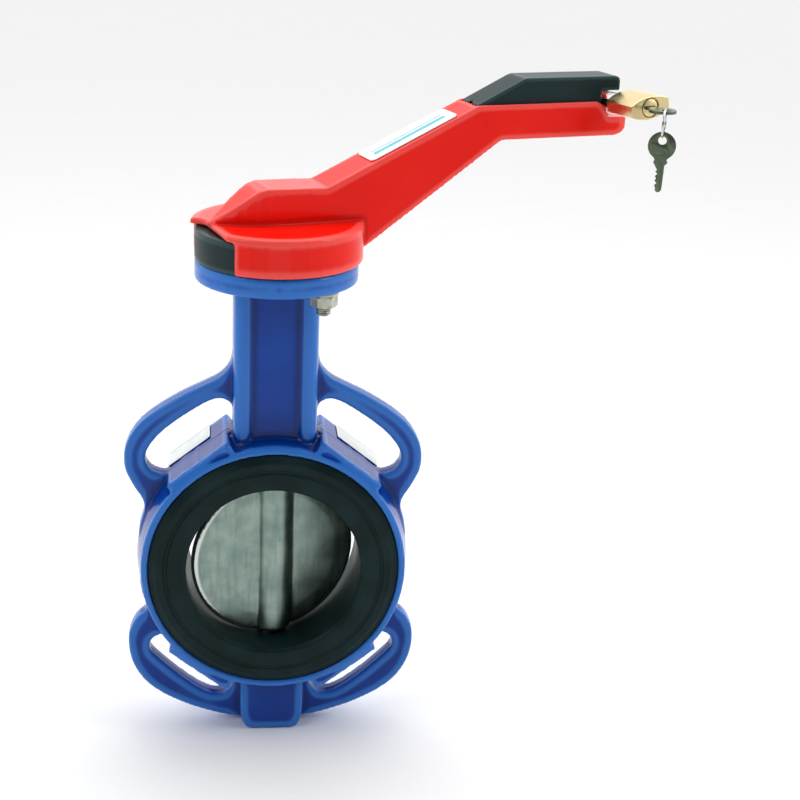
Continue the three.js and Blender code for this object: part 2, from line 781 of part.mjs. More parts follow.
function triggerSpring() {
  const turns = 6;
  const bottom = SPRING_FLOOR + GAP + SPRING_WIRE_R;
  const top = SPRING_ROOF - GAP - SPRING_WIRE_R;
  class Coil extends THREE.Curve {
    getPoint(t, target = new THREE.Vector3()) {
      const angle = t * turns * 2 * Math.PI;
      const z = bottom + t * (top - bottom);
      const x = SPRING_U + SPRING_MEAN_R * Math.cos(angle);
      return target.set(x, SPRING_MEAN_R * Math.sin(angle), z);
    }
  }
  return mesh('trigger_spring', tube(new Coil(), SPRING_WIRE_R, turns * 8, 3), zincSteel);
}

// ---------------------------------------------------------------- padlock and keys
// The padlock's own axes: X across the legs from the eye, Y along the legs, Z up.
function shackle() {
  const bend = 7;
  const radius = LEG_SPACING / 2;
  const short = LOCK_TOP - 8.5;
  const long = LOCK_TOP - 12.5;
  class Bow extends THREE.Curve {
    getPoint(t, target = new THREE.Vector3()) {
      const first = bend - long;
      const arc = Math.PI * radius;
      const second = bend - short;
      const s = t * (first + arc + second);
      if (s < first) {
        return target.set(0, long + s, 0);
      }
      if (s < first + arc) {
        const angle = Math.PI - (s - first) / radius;
        return target.set(radius + radius * Math.cos(angle), bend + radius * Math.sin(angle), 0);
      }
      return target.set(LEG_SPACING, bend - (s - first - arc), 0);
    }
  }
  return mesh('padlock_shackle', tube(new Bow(), SHACKLE_R, 26, 4), polishedSteel);
}

function padlockBody() {
  const middle = LEG_SPACING / 2;
  const halfWidth = LOCK_WIDTH / 2;
  const rise = LOCK_HALF - LOCK_EDGE;
  const crown = (halfWidth * halfWidth + rise * rise) / (2 * rise);
  const spread = Math.asin(halfWidth / crown);
  const shape = new THREE.Shape();
  const up = Math.PI / 2;
  shape.absarc(middle, LOCK_HALF - crown, crown, up - spread, up + spread, false);
  shape.absarc(middle, crown - LOCK_HALF, crown, -up - spread, -up + spread, false);
  let solid = upright(shape, LOCK_BOTTOM, LOCK_TOP, 10);
  solid = solid.subtract(rodY(SHACKLE_R + GAP, LOCK_TOP - 13, LOCK_TOP + 1, 0, 0));
  solid = solid.subtract(rodY(SHACKLE_R + GAP, LOCK_TOP - 9, LOCK_TOP + 1, LEG_SPACING, 0));
  solid = solid.subtract(rodY(PLUG_R + GAP, LOCK_BOTTOM - 1, PLUG_END + GAP, middle, 0, MEDIUM));
  return mesh('padlock_body', solid, brass);
}

function padlockPlug() {
  const slot = KEY_THICK / 2 + GAP;
  let solid = rodY(PLUG_R, LOCK_BOTTOM, PLUG_END, 0, 0, MEDIUM);
  solid = solid.subtract(block(-3.4, 3.4, LOCK_BOTTOM - 1, PLUG_END - 1, -slot, slot));
  return mesh('padlock_plug', solid, brass);
}

// A flat key in its own X-Y plane: the bow at the origin, the blade towards -Y.
function keySolid() {
  const shape = new THREE.Shape();
  const start = THREE.MathUtils.degToRad(-58);
  const end = THREE.MathUtils.degToRad(238);
  shape.absarc(0, 0, BOW_R, start, end, false);
  shape.lineTo(-3.3, -KEY_SHOULDER + 1.6);
  shape.lineTo(-4, -KEY_SHOULDER + 0.3);
  shape.lineTo(-3.6, -KEY_SHOULDER - 0.4);
  shape.lineTo(-1.4, -KEY_SHOULDER - 4);
  const teeth = 4;
  const pitch = 2.6;
  for (let i = 0; i < teeth; i += 1) {
    const y = -KEY_SHOULDER - 5 - i * pitch;
    const depth = i % 2 === 0 ? 1.1 : 0.7;
    shape.lineTo(-2.3, y);
    shape.lineTo(-2.3 + depth, y - pitch / 2);
  }
  shape.lineTo(-1.6, -KEY_TIP + 1);
  shape.lineTo(-0.6, -KEY_TIP);
  shape.lineTo(1, -KEY_TIP + 0.2);
  shape.lineTo(2, -KEY_TIP + 1.6);
  shape.lineTo(2.4, -KEY_SHOULDER - 1.4);
  shape.lineTo(4, -KEY_SHOULDER + 0.3);
  shape.lineTo(3.3, -KEY_SHOULDER + 1.6);
  const hole = new THREE.Path();
  hole.absarc(0, KEY_HOLE_OFFSET, KEY_HOLE_R, 0, 2 * Math.PI, false);
  shape.holes.push(hole);
  return prism(shape, -KEY_THICK / 2, KEY_THICK / 2, 10);
}

function keyInLock() {
  const key = mesh('key_in_lock', keySolid(), keyNickel);
  key.position.set(0, LOCK_BOTTOM - KEY_OUT - KEY_SHOULDER, 0);
  key.rotation.z = Math.PI;
  return key;
}

// The ring and the spare key, from the middle of the hole that they hang in.
function keyRing() {
  const ring = mesh('key_ring', roundRing(RING_MEAN_R, RING_WIRE_R, RING_HALF_WIDTH), polishedSteel);
  ring.position.set(0, -RING_FORWARD, -RING_DROP);
  ring.rotation.y = Math.PI / 2;
  return ring;
}

function spareKey() {
  const drop = RING_DROP + RING_MEAN_R - RING_WIRE_R - GAP + KEY_HOLE_R + KEY_HOLE_OFFSET;
  const key = mesh('spare_key', keySolid(), keyNickel);
  key.position.set(0, -RING_FORWARD, -drop);
  key.rotation.x = Math.PI / 2;
  return key;
}

// ---------------------------------------------------------------- assembly
const valve = new THREE.Group();
valve.add(valveBody(), bodyLabel('body_label_left', -1), bodyLabel('body_label_right', 1), seatLiner());
valve.add(mesh('upper_bush', sleeveZ(STEM_R + GAP, BUSH_R, ...UPPER_BUSH), bronze));
valve.add(mesh('middle_bush', sleeveZ(STEM_R + GAP, BUSH_R, ...MIDDLE_BUSH), bronze));
valve.add(mesh('lower_bush', sleeveZ(STEM_R + GAP, BUSH_R, ...LOWER_BUSH), bronze));
valve.add(oRing('stem_seal_lower', 99.8), oRing('stem_seal_upper', 103), oRing('stem_wiper', 171.8));
valve.add(mesh('stem_retaining_ring', sleeveZ(STEM_R + GAP, BUSH_R, 173.6, 175.2), zincSteel));
valve.add(mesh('thrust_disc', rodZ(7.8, POCKET_BOTTOM + GAP, STEM_BOTTOM - GAP, 0, 0, MEDIUM), bronze));
valve.add(notchPlate());
for (const [place, side] of [['front', 1], ['rear', -1]]) {
  valve.add(plateBolt(`plate_bolt_${place}`, side));
  valve.add(plateWasher(`plate_washer_${place}`, side));
  valve.add(plateNut(`plate_nut_${place}`, side));
}

const turning = new THREE.Group();
turning.rotation.z = DISC_ANGLE;
turning.add(stem(), disc(), leverHandle(), leverLabel(), leverSetScrew());
turning.add(trigger(), latchBar(), triggerSpring());
turning.add(mesh('trigger_pivot_pin', rodY(PIN_R, -11.7, 12.4, PIVOT_U, PIVOT_Z), zincSteel));
turning.add(mesh('latch_cross_pin', rodY(PIN_R, -9.6, 9.6, CROSS_U, CROSS_Z), zincSteel));

const padlockTurn = new THREE.Group();
padlockTurn.position.set(EYE_U, 0, EYE_Z);
padlockTurn.rotation.z = PADLOCK_YAW;
const padlock = new THREE.Group();
padlock.rotation.y = -PADLOCK_ROLL;
const barrel = new THREE.Group();     // turned back, so that the key lies level
barrel.position.x = LEG_SPACING / 2;
barrel.rotation.y = PADLOCK_ROLL;
const lockKey = keyInLock();
barrel.add(padlockPlug(), lockKey);
padlock.add(shackle(), padlockBody(), barrel);
padlockTurn.add(padlock);
turning.add(padlockTurn);
valve.add(turning);

// The key ring hangs over the rim of the bow of the key in the lock.
valve.updateMatrixWorld(true);
const hanging = new THREE.Group();
hanging.position.copy(lockKey.localToWorld(new THREE.Vector3(0, KEY_HOLE_OFFSET, 0)));
hanging.rotation.z = RING_YAW;
hanging.add(keyRing(), spareKey());
valve.add(hanging);

export default valve;
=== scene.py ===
"""Looks for the hand-levered wafer butterfly valve: its studio, its finishes and its detailed pieces.

Lengths in the drawing functions are millimetres. Z is the stem axis, Y the pipe axis.
"""

import json
import math
from contextlib import contextmanager

import bmesh
import bpy
import numpy as np
from mathutils import Matrix, Vector


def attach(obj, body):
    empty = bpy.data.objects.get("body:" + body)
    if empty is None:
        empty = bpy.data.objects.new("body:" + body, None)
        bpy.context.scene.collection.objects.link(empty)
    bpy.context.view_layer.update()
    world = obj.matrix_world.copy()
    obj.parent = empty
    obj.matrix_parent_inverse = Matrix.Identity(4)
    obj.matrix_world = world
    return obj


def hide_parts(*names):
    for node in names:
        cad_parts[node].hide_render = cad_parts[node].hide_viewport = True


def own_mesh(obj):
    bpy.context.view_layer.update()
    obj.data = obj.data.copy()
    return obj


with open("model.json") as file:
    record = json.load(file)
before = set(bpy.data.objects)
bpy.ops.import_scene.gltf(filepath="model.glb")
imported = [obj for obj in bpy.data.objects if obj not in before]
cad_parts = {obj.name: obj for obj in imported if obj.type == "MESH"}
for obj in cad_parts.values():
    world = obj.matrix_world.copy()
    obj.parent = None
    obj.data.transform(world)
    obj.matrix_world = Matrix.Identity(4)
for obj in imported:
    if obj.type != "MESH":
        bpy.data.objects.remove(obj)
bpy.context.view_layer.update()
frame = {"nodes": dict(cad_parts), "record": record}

RECORD = frame["record"]
BODY_OF = {node: body for body, nodes in RECORD["behaviour"]["bodies"].items() for node in nodes}
SLOT_OF = {entry["node"]: entry["material_slot"] for entry in RECORD["subparts"]}

MM = 0.001
SAME_POINT = 1e-6  # metres; points nearer than this are merged
AIR = 0.3  # clearance between pieces that touch
FACETS = 40  # sides of the large rounds in the solid model
FLANGE_LOW = 166  # everything higher on the body belongs to its top flange
HALF_LENGTH = 27  # the body and its seat stay within this of the stem along the pipe
ARM_FOOT_U, ARM_FOOT_Z = 24.3, 219.3  # ends of the arm's sloping top: distance out and height
ARM_TOP_U, ARM_TOP_Z = 113.2, 260.6
LABEL_U = 76
BOLT_CIRCLE_R = 35
FLAT_ACROSS = 13  # of the bolts and nuts
THREAD_PITCH = 1.25

LEVER_TURN = math.radians(18)
LEVER = Matrix.Rotation(LEVER_TURN, 4, "Z")
EYE = Vector((196.2, 0, 259.3))
LEG_SPACING = 18
LOCK_YAW = math.radians(5.5)
LOCK_ROLL = math.radians(9)
PADLOCK = (
    LEVER
    @ Matrix.Translation(EYE)
    @ Matrix.Rotation(LOCK_YAW, 4, "Z")
    @ Matrix.Rotation(-LOCK_ROLL, 4, "Y")
)
BARREL = PADLOCK @ Matrix.Translation((LEG_SPACING / 2, 0, 0)) @ Matrix.Rotation(LOCK_ROLL, 4, "Y")
LOCK_FRONT = -38  # key end of the padlock, along its legs
LOCK_BACK = -14.5
KEY_OUT = 1.2  # the key isn't pushed fully home
KEY_BOW_R = 7.8
KEY_SHOULDER = 9.6
KEY_HOLE = 3
KEY_HOLE_R = 2.4
KEY_TIP = 26.2
RING_R = 7.9
RING_WIRE_R = 0.5
# the ring hangs in the hole of the key in the lock
HANGING = Matrix.Translation(
    BARREL @ Vector((0, LOCK_FRONT - KEY_OUT - KEY_SHOULDER - KEY_HOLE, 0))
) @ Matrix.Rotation(math.radians(-20), 4, "Z")
RING_CENTRE = Vector((0, -5.2, -5.5))


# ---------------------------------------------------------------- shader arithmetic
class Shade:
    """A number, colour or vector that varies over a surface. Plain arithmetic on it adds Math nodes."""

    def __init__(self, finish, socket):
        self.finish = finish
        self.socket = socket

    def math(self, operation, *values):
        return self.finish.node("ShaderNodeMath", {"operation": operation}, values)

    def __add__(self, other):
        return self.math("ADD", self, other)

    __radd__ = __add__

    def __sub__(self, other):
        return self.math("SUBTRACT", self, other)

    def __rsub__(self, other):
        return self.math("SUBTRACT", other, self)

    def __mul__(self, other):
        return self.math("MULTIPLY", self, other)

    __rmul__ = __mul__

    def between(self, low, high):
        """0 below low, 1 above high, smooth in between."""
        settings = {"interpolation_type": "SMOOTHSTEP"}
        values = {"Value": self, "From Min": low, "From Max": high}
        return self.finish.node("ShaderNodeMapRange", settings, values)


class Finish:
    """A material in the making."""

    def __init__(self, name, **fixed):
        self.material = bpy.data.materials.new(name)
        self.material.use_nodes = True
        self.tree = self.material.node_tree
        self.tree.nodes.clear()
        self.surface = self.tree.nodes.new("ShaderNodeBsdfPrincipled")
        output = self.tree.nodes.new("ShaderNodeOutputMaterial")
        self.tree.links.new(self.surface.outputs["BSDF"], output.inputs["Surface"])
        for socket, value in fixed.items():
            self.surface.inputs[self.label(socket)].default_value = value

    def node(self, kind, settings=None, values=(), output=0):
        """Adds a node: its settings first, then the values or links of its sockets, by name or in order."""
        node = self.tree.nodes.new(kind)
        for name, value in (settings or {}).items():
            setattr(node, name, value)
        pairs = values.items() if isinstance(values, dict) else enumerate(values)
        for key, value in pairs:
            self.connect(node.inputs[key], value)
        return Shade(self, node.outputs[output])

    def connect(self, socket, value):
        if isinstance(value, Shade):
            self.tree.links.new(value.socket, socket)
        else:
            socket.default_value = value

    def label(self, socket):
        """Name of the socket that a keyword such as base_color stands for."""
        return socket.replace("_", " ").title().replace("Ior", "IOR")

    def set(self, **values):
        for socket, value in values.items():
            self.connect(self.surface.inputs[self.label(socket)], value)

    def place(self, turn=(0, 0, 0), stretch=(1, 1, 1)):
        """Object coordinates, turned and stretched."""
        coordinates = self.node("ShaderNodeTexCoord", output="Object")
        values = {"Vector": coordinates, "Rotation": turn, "Scale": stretch}
        return self.node("ShaderNodeMapping", None, values)

    def noise(self, size_mm, detail, place=None):
        values = {"Vector": place or self.place(), "Scale": 1000 / size_mm, "Detail": detail}
        return self.node("ShaderNodeTexNoise", None, values)

    def rings(self, values):
        """Turned marks about Z of the coordinates given."""
        settings = {"wave_type": "RINGS", "rings_direction": "Z"}
        return self.node("ShaderNodeTexWave", settings, values, output="Fac")

    def attribute(self, name):
        return self.node("ShaderNodeAttribute", {"attribute_name": name}, output="Fac")

    def blend(self, amount, first, second):
        settings = {"data_type": "RGBA", "clamp_factor": True}
        # a Mix node's colour sockets are inputs 6 and 7 and output 2
        return self.node("ShaderNodeMix", settings, {0: amount, 6: first, 7: second}, output=2)

    def bump(self, height, depth_mm, strength):
        values = {"Height": height, "Distance": depth_mm * MM, "Strength": strength}
        return self.node("ShaderNodeBump", None, values)


def colour(code):
    """Linear colour of a display colour such as 0A3CA8."""
    channels = [int(code[i : i + 2], 16) / 255 for i in (0, 2, 4)]
    return (*[c / 12.92 if c <= 0.04045 else ((c + 0.055) / 1.055) ** 2.4 for c in channels], 1.0)


# ---------------------------------------------------------------- finishes
def blue_epoxy():
    """Sprayed and fused epoxy: glossy, with a soft orange peel, slightly paler on convex edges as a painted
    highlight and darker in the hollows as painted shade.
    """
    finish = Finish("blue_epoxy", coat_weight=0.08, coat_roughness=0.04, specular_ior_level=0.2)
    edge = finish.attribute("edge")
    cloud = finish.noise(55, 3).between(0.3, 0.75)
    base = finish.blend(cloud, colour("01368F"), colour("0446A8"))
    # painted highlight: convex edges blended towards a pale blue
    base = finish.blend(edge.between(0.1, 0.7) * 0.7, base, colour("3C84DC"))
    # painted shade: hollows blended towards a dark blue
    base = finish.blend((0 - edge).between(0.1, 0.8) * 0.6, base, colour("03245F"))
    peel = finish.noise(2.6, 1)
    sag = finish.noise(14, 1)
    rough = 0.14 + finish.noise(9, 3) * 0.1
    finish.set(base_color=base, roughness=rough, normal=finish.bump(peel * 0.35 + sag, 0.16, 0.7))
    return finish.material


def red_enamel():
    """Stoved enamel over a casting: bright red, glossy, paler on convex edges as a painted highlight and a
    little darker in the hollows as painted shade.
    """
    finish = Finish("red_enamel", coat_weight=0.05, coat_roughness=0.05, specular_ior_level=0.14)
    edge = finish.attribute("edge")
    cloud = finish.noise(60, 3).between(0.3, 0.75)
    base = finish.blend(cloud, colour("F0160C"), colour("F91F12"))
    # painted highlight: convex edges blended towards a pale red
    base = finish.blend(edge.between(0.1, 0.7) * 0.7, base, colour("FF625C"))
    # painted shade: hollows blended towards a dark red
    base = finish.blend((0 - edge).between(0.1, 0.8) * 0.6, base, colour("C00D06"))
    peel = finish.noise(2.2, 1)
    sag = finish.noise(12, 1)
    rough = 0.15 + finish.noise(8, 3) * 0.1
    finish.set(base_color=base, roughness=rough, normal=finish.bump(peel * 0.3 + sag, 0.13, 0.7))
    return finish.material


def black_rubber():
    """Moulded seat rubber with a faint bloom and turned mould marks around the pipe axis."""
    finish = Finish("black_rubber", specular_ior_level=0.12)
    bloom = finish.noise(22, 4).between(0.35, 0.75)
    base = finish.blend(bloom, colour("0E2122"), colour("182E30"))
    grain = finish.noise(0.5, 2)
    upright = finish.place(turn=(math.pi / 2, 0, 0))
    marks = finish.rings({"Vector": upright, "Scale": 240.0, "Distortion": 0.4, "Detail": 1.0})
    rough = 0.34 + bloom * 0.12 + grain * 0.06
    finish.set(base_color=base, roughness=rough, normal=finish.bump(grain * 0.6 + marks * 0.3, 0.03, 0.6))
    return finish.material


def seal_rubber():
    finish = Finish("seal_rubber")
    grain = finish.noise(0.4, 2)
    base = finish.blend(grain, colour("151A1B"), colour("1E2526"))
    finish.set(base_color=base, roughness=0.45 + grain * 0.1, normal=finish.bump(grain, 0.01, 0.5))
    return finish.material


def black_plastic():
    """Spark-eroded moulding grain, worn smoother along the edges."""
    finish = Finish("black_plastic", specular_ior_level=0.2)
    edge = finish.attribute("edge").between(0.2, 0.8)
    cells = finish.node("ShaderNodeTexVoronoi", None, {"Vector": finish.place(), "Scale": 1000 / 0.7})
    grain = cells + finish.noise(0.45, 2)
    cloud = finish.noise(18, 3)
    base = finish.blend(cloud, colour("0E2223"), colour("183033"))
    base = finish.blend(edge * 0.5, base, colour("3A5656"))
    rough = 0.36 + cloud * 0.08 - edge * 0.1
    finish.set(base_color=base, roughness=rough, normal=finish.bump(grain * (1 - edge * 0.6), 0.05, 0.5))
    return finish.material


def stainless_disc():
    """Cast stainless, fine turned about the pipe axis, with cloudy patches and a polished rim."""
    finish = Finish("stainless_disc", metallic=1.0)
    rim = finish.attribute("rim")
    centred = finish.place(turn=(0, 0, -LEVER_TURN))
    upright = finish.node("ShaderNodeMapping", None, {"Vector": centred, "Rotation": (math.pi / 2, 0, 0)})
    values = {"Vector": upright, "Scale": 330.0, "Distortion": 1.2, "Detail": 2.0, "Detail Scale": 1.5}
    marks = finish.rings(values)
    cloud = finish.noise(16, 4).between(0.3, 0.7)
    streak = finish.noise(3, 3, finish.place(stretch=(1, 1, 0.12)))
    base = finish.blend(cloud, colour("7A8E86"), colour("A2B5AC"))
    base = finish.blend(streak.between(0.45, 0.7) * 0.35, base, colour("5C6D67"))
    base = finish.blend(rim, base, colour("C9CFCB"))
    rough = (0.4 + cloud * 0.12 - streak * 0.1) * (1 - rim * 0.55)
    finish.set(base_color=base, roughness=rough, normal=finish.bump(marks * 0.5 + streak, 0.02, 0.5))
    return finish.material


def drawn_metal(name, low, high, rough, grain_mm, stretch, turn=(0, 0, 0), depth=0.01):
    """Bar or sheet metal with fine lines along one direction."""
    finish = Finish(name, metallic=1.0)
    lines = finish.noise(grain_mm, 3, finish.place(turn=turn, stretch=stretch))
    stain = finish.noise(6, 3).between(0.35, 0.7)
    base = finish.blend(lines, colour(low), colour(high))
    base = finish.blend(stain * 0.3, base, colour(low))
    rough = rough + stain * 0.1 - lines * 0.06
    finish.set(base_color=base, roughness=rough, normal=finish.bump(lines, depth, 0.5))
    return finish.material


def zinc_steel():
    finish = Finish("zinc_steel", metallic=1.0)
    flakes = finish.node("ShaderNodeTexVoronoi", None, {"Vector": finish.place(), "Scale": 1000 / 1.1})
    cloud = finish.noise(4, 3).between(0.3, 0.7)
    base = finish.blend(cloud, colour("A3A694"), colour("CBCDC0"))
    base = finish.blend(flakes * 0.25, base, colour("8E9186"))
    finish.set(base_color=base, roughness=0.32 + cloud * 0.12, normal=finish.bump(flakes, 0.01, 0.3))
    return finish.material


def polished_steel():
    finish = Finish("polished_steel", metallic=1.0)
    haze = finish.noise(5, 3).between(0.35, 0.7)
    scratch = finish.noise(0.35, 2, finish.place(stretch=(1, 0.1, 1)))
    base = finish.blend(haze, colour("C4C8C6"), colour("DDE0DE"))
    finish.set(base_color=base, roughness=0.14 + haze * 0.1, normal=finish.bump(scratch, 0.004, 0.3))
    return finish.material


def bronze():
    finish = Finish("bronze", metallic=1.0)
    pores = finish.noise(0.5, 3)
    base = finish.blend(pores, colour("86683A"), colour("A98852"))
    finish.set(base_color=base, roughness=0.4 + pores * 0.15, normal=finish.bump(pores, 0.01, 0.4))
    return finish.material


def printed_film(name, low, high):
    finish = Finish(name, coat_weight=0.3, coat_roughness=0.12)
    fibre = finish.noise(7, 3).between(0.3, 0.7)
    finish.set(
        base_color=finish.blend(fibre, colour(low), colour(high)),
        roughness=0.34 + fibre * 0.08,
        normal=finish.bump(finish.noise(3, 1), 0.02, 0.4),
    )
    return finish.material


FINISHES = {
    "blue_epoxy": blue_epoxy(),
    "red_enamel": red_enamel(),
    "black_rubber": black_rubber(),
    "seal_rubber": seal_rubber(),
    "black_plastic": black_plastic(),
    "stainless_disc": stainless_disc(),
    "stainless_bar": drawn_metal("stainless_bar", "8C918D", "B9BEBA", 0.28, 0.5, (1, 1, 6)),
    "silver_plate": drawn_metal("silver_plate", "D2D7D8", "F0F3F3", 0.42, 0.4, (0.08, 1, 1)),
    "zinc_steel": zinc_steel(),
    "polished_steel": polished_steel(),
    "bronze": bronze(),
    "brass": drawn_metal(
        "brass", "D2BB86", "EAD8AC", 0.3, 0.5, (1, 0.06, 1), (0, 0, -LEVER_TURN - LOCK_YAW), 0.006
    ),
    "key_nickel": drawn_metal("key_nickel", "4C5A48", "77836F", 0.36, 0.6, (1, 1, 0.3)),
    "white_label": printed_film("white_label", "F1F4F4", "F9FBFB"),
}
BAND_FINISH = printed_film("teal_ink", "3FB6C4", "58C6D2")


# ---------------------------------------------------------------- meshes
def between(values, low, high):
    return (values > low) & (values < high)


@contextmanager
def opened(mesh):
    """The mesh as a bmesh, written back at the end."""
    work = bmesh.new()
    work.from_mesh(mesh)
    yield work
    work.to_mesh(mesh)
    work.free()


def piece_from(mesh, name):
    piece = bpy.data.objects.new(name, mesh)
    bpy.context.scene.collection.objects.link(piece)
    return piece


def drawn(name, points, faces, where=Matrix(), smooth=True):
    """A piece from points in millimetres, placed by a matrix that is in millimetres too."""
    mesh = bpy.data.meshes.new(name)
    mesh.from_pydata([tuple((where @ Vector(p)) * MM) for p in points], [], faces)
    with opened(mesh) as work:
        bmesh.ops.remove_doubles(work, verts=work.verts, dist=SAME_POINT)
        bmesh.ops.dissolve_degenerate(work, dist=1e-7, edges=work.edges)
        bmesh.ops.recalc_face_normals(work, faces=work.faces)
    mesh.shade_smooth() if smooth else mesh.shade_flat()
    return piece_from(mesh, name)


def finished(piece, node, finish=None, stands_for=True):
    """Gives the piece its finish and body. It stands for the solid of that name, or only rides with it."""
    piece.data.materials.clear()
    piece.data.materials.append(finish or FINISHES[SLOT_OF[node]])
    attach(piece, BODY_OF[node])
    if stands_for:
        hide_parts(node)
    return piece


def applied(piece):
    """The piece with its modifiers made part of its mesh."""
    mesh = bpy.data.meshes.new_from_object(piece.evaluated_get(bpy.context.evaluated_depsgraph_get()))
    piece.modifiers.clear()
    old = piece.data
    piece.data = mesh
    bpy.data.meshes.remove(old)
    return piece


def combined(piece, other, operation="DIFFERENCE"):
    step = piece.modifiers.new("combine", "BOOLEAN")
    step.operation = operation
    step.solver = "EXACT"
    step.object = other
    applied(piece)
    bpy.data.objects.remove(other)
    return piece


def softened_edges(piece, width, angle=30):
    step = piece.modifiers.new("soften", "BEVEL")
    step.width = width * MM
    step.segments = 2
    step.limit_method = "ANGLE"
    step.angle_limit = math.radians(angle)
    return applied(piece)


def sharp_shading(piece, angle=35):
    """Smooth shading with creases kept."""
    piece.data.shade_smooth()
    piece.data.set_sharp_from_angle(angle=math.radians(angle))
    return piece


def turned(name, profile, segments, where=Matrix()):
    """A turning about Z from a closed outline of (radius, height)."""
    points = []
    for i in range(segments):
        angle = 2 * math.pi * i / segments
        points += [(r * math.cos(angle), r * math.sin(angle), h) for r, h in profile]
    count = len(profile)
    faces = []
    for i in range(segments):
        here = i * count
        there = ((i + 1) % segments) * count
        for j in range(count):
            k = (j + 1) % count
            if profile[j][0] > 1e-6 or profile[k][0] > 1e-6:
                faces.append((here + j, there + j, there + k, here + k))
    return drawn(name, points, faces, where)


def rounded(corners, steps):
    """An outline from corners (a, b, radius), each corner turned into an arc."""
    outline = []
    count = len(corners)
    for i, (a, b, radius) in enumerate(corners):
        here = Vector((a, b))
        before = Vector(corners[i - 1][:2]) - here
        after = Vector(corners[(i + 1) % count][:2]) - here
        if radius <= 0 or before.length < 1e-9 or after.length < 1e-9:
            outline.append((a, b))
            continue
        before.normalize()
        after.normalize()
        half = before.angle(after) / 2
        reach = radius / math.tan(half)
        centre = here + (before + after).normalized() * (radius / math.sin(half))
        first = here + before * reach - centre
        last = here + after * reach - centre
        sweep = math.atan2(first.cross(last), first.dot(last))
        for k in range(steps + 1):
            spin = Matrix.Rotation(sweep * k / steps, 2)
            outline.append(tuple(centre + spin @ first))
    return outline


def slab(name, outline, low, high, where=Matrix()):
    """A plate drawn in X and Y, from one height to another."""
    count = len(outline)
    points = [(x, y, low) for x, y in outline] + [(x, y, high) for x, y in outline]
    faces = [tuple(range(count)), tuple(range(2 * count - 1, count - 1, -1))]
    faces += [(i, (i + 1) % count, count + (i + 1) % count, count + i) for i in range(count)]
    return drawn(name, points, faces, where, smooth=False)


def boxed(right, top, radius, steps):
    """A rectangle about the origin with round corners."""
    corners = [(-right, -top, radius), (right, -top, radius), (right, top, radius), (-right, top, radius)]
    return rounded(corners, steps)


def neighbours(mesh):
    """The two ends of each edge, both ways round, and how many edges each point has."""
    pairs = np.empty(len(mesh.edges) * 2, dtype=np.int64)
    mesh.edges.foreach_get("vertices", pairs)
    pairs = pairs.reshape(-1, 2)
    start = np.concatenate([pairs[:, 0], pairs[:, 1]])
    end = np.concatenate([pairs[:, 1], pairs[:, 0]])
    return start, end, np.maximum(np.bincount(start, minlength=len(mesh.vertices)), 1)


def coordinates(mesh):
    values = np.empty(len(mesh.vertices) * 3, dtype=np.float64)
    mesh.vertices.foreach_get("co", values)
    return values.reshape(-1, 3)


def place_points(mesh, points):
    mesh.vertices.foreach_set("co", points.astype(np.float32).ravel())
    mesh.update()


def averaged(points, links):
    start, end, count = links
    columns = [np.bincount(start, column, minlength=len(points)) for column in points[end].T]
    return np.stack(columns, 1) / count[:, None]


def relaxed(points, links, rounds):
    """Rounds edges off without shrinking the shape."""
    for _ in range(rounds):
        for pull in (0.5, -0.52):
            points = points + pull * (averaged(points, links) - points)
    return points


def normals_of(mesh):
    values = np.empty(len(mesh.vertices) * 3, dtype=np.float32)
    mesh.vertex_normals.foreach_get("vector", values)
    return values.reshape(-1, 3)


def store(mesh, name, values):
    layer = mesh.attributes.new(name, "FLOAT", "POINT")
    layer.data.foreach_set("value", values.astype(np.float32))


def mark_edges(piece, reach_mm):
    """Stores how far each point stands out from, or lies below, the smoothed surface, from 1 to -1."""
    mesh = piece.data
    points = coordinates(mesh)
    links = neighbours(mesh)
    smooth = points
    for _ in range(6):
        smooth = averaged(smooth, links)
    height = ((points - smooth) * normals_of(mesh)).sum(1)
    value = np.clip(height / (reach_mm * MM), -1, 1)[:, None]
    for _ in range(2):
        value = averaged(value, links)
    store(mesh, "edge", value[:, 0])


def trued(points, axis, applies):
    """Moves points of a faceted round out to the true circle, about the Y or the Z axis."""
    first, second = (0, 2) if axis == "Y" else (0, 1)
    radius = np.hypot(points[:, first], points[:, second])
    angle = np.arctan2(points[:, second], points[:, first])
    step = 2 * math.pi / FACETS
    away = np.mod(angle, step) - step / 2
    grow = np.where(applies(radius / MM, points / MM), np.cos(away) / math.cos(step / 2), 1.0)
    result = points.copy()
    result[:, first] *= grow
    result[:, second] *= grow
    return result


def evened(piece, grain_mm):
    """The piece with its faces made one size."""
    step = piece.modifiers.new("even", "REMESH")
    step.mode = "VOXEL"
    step.voxel_size = grain_mm * MM
    return applied(piece)


def cast(node, grain_mm, rounds, rounds_true, reach):
    """A solid of the model with the soft edges and inner corners of a casting."""
    mesh = frame["nodes"][node].data.copy()
    piece = piece_from(mesh, node + "_casting")
    with opened(mesh) as work:
        bmesh.ops.remove_doubles(work, verts=work.verts, dist=SAME_POINT)
    mesh = evened(piece, grain_mm).data
    points = coordinates(mesh)
    for axis, applies in rounds_true:
        points = trued(points, axis, applies)
    points = relaxed(points, neighbours(mesh), rounds)
    place_points(mesh, points)
    mesh.shade_smooth()
    mark_edges(piece, reach)
    return piece


# ---------------------------------------------------------------- body and seat
def body_rounds(radius, points):
    """The outside of the ring, the recess for the seat's face and the bore behind the seat."""
    ring = between(radius, 74.2, 78.8)
    recess = between(radius, 71.2, 72.2)
    bore = between(radius, 57.3, 58.4)
    return (np.abs(points[:, 1]) < HALF_LENGTH) & (ring | recess | bore)


def flange_rounds(radius, points):
    return (points[:, 2] > FLANGE_LOW) & between(radius, 44.2, 45.4)


